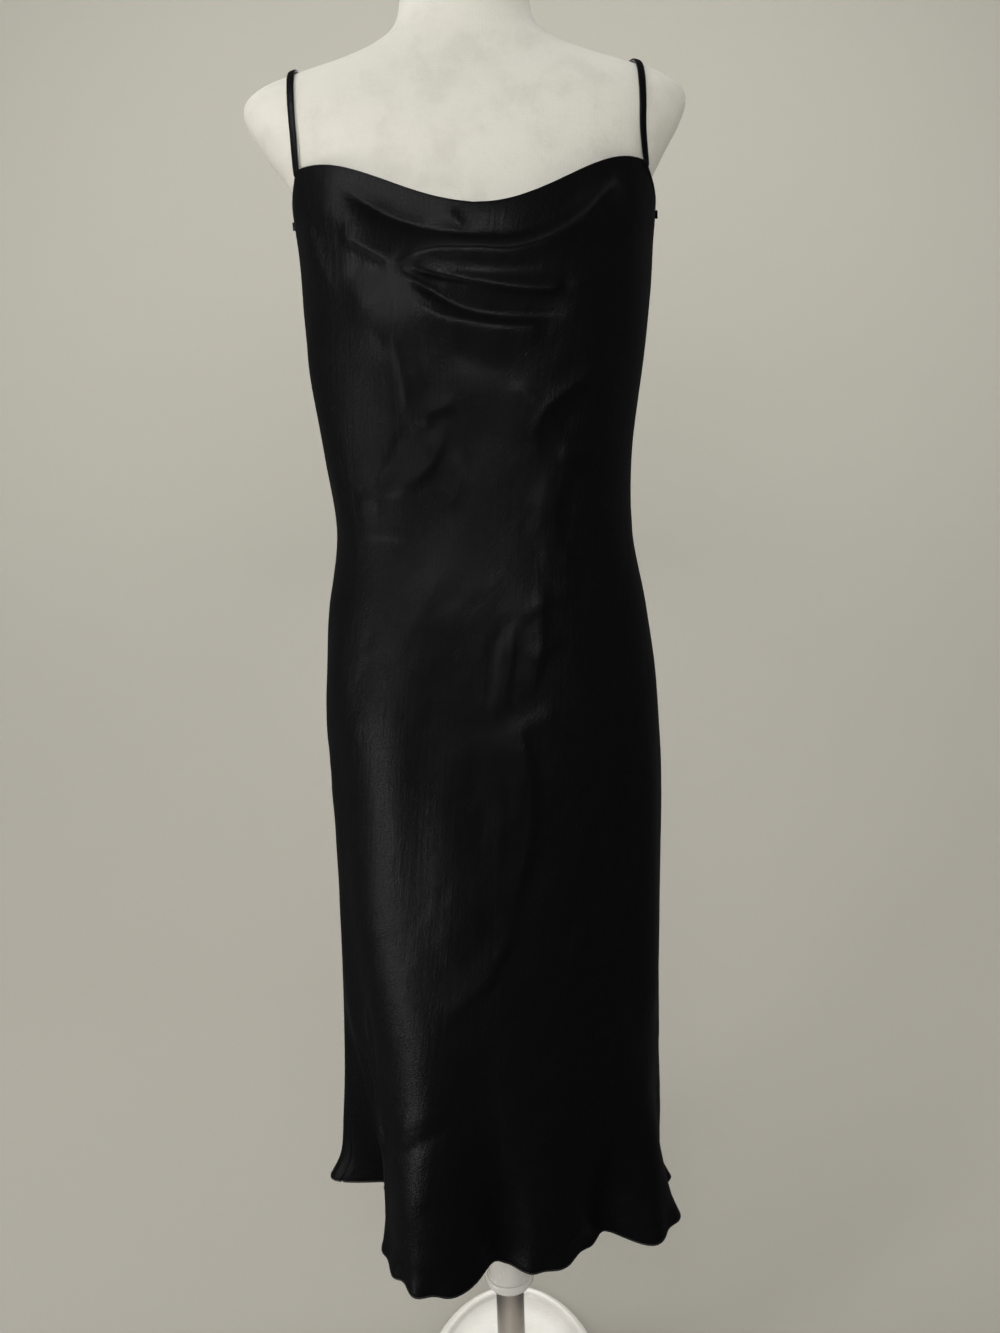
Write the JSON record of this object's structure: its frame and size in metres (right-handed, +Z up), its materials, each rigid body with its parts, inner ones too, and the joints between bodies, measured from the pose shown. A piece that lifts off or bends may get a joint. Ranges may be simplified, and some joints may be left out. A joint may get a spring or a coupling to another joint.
{
  "type": "slip dress on a dress form",
  "caption": "Long satin slip dress with a cowl neck, thin straps and a fluted hem, worn on a limbless dress form that stands on an adjustable pole and an oval base.",
  "frame": {"origin": "middle of the base plate's underside, on the floor", "axes": "+Z up along the pole, the front of the dress faces -Y, +X to the right as seen from the front"},
  "size_m": [0.399, 0.3177, 1.536],
  "materials": {
    "satin": "black polyester satin, smooth side out",
    "form_cover": "off-white matte stretch jersey over the torso",
    "stand_white": "off-white glossy plastic",
    "pole_metal": "fine satin steel tube"
  },
  "bodies": {
    "stand": {"base_plate": "stand_white", "lower_pole": "pole_metal"},
    "dressed_form": {"dress_form": "form_cover", "upper_tube": "stand_white", "clamp_collar": "stand_white", "front_panel": "satin", "back_panel": "satin", "strap_left": "satin", "strap_right": "satin", "armhole_binding_left": "satin", "armhole_binding_right": "satin"}
  },
  "joints": [
    {"name": "stand_height", "type": "slide", "parent": "stand", "child": "dressed_form", "axis": [0, 0, 1], "range_m": [-0.08, 0.25]}
  ]
}
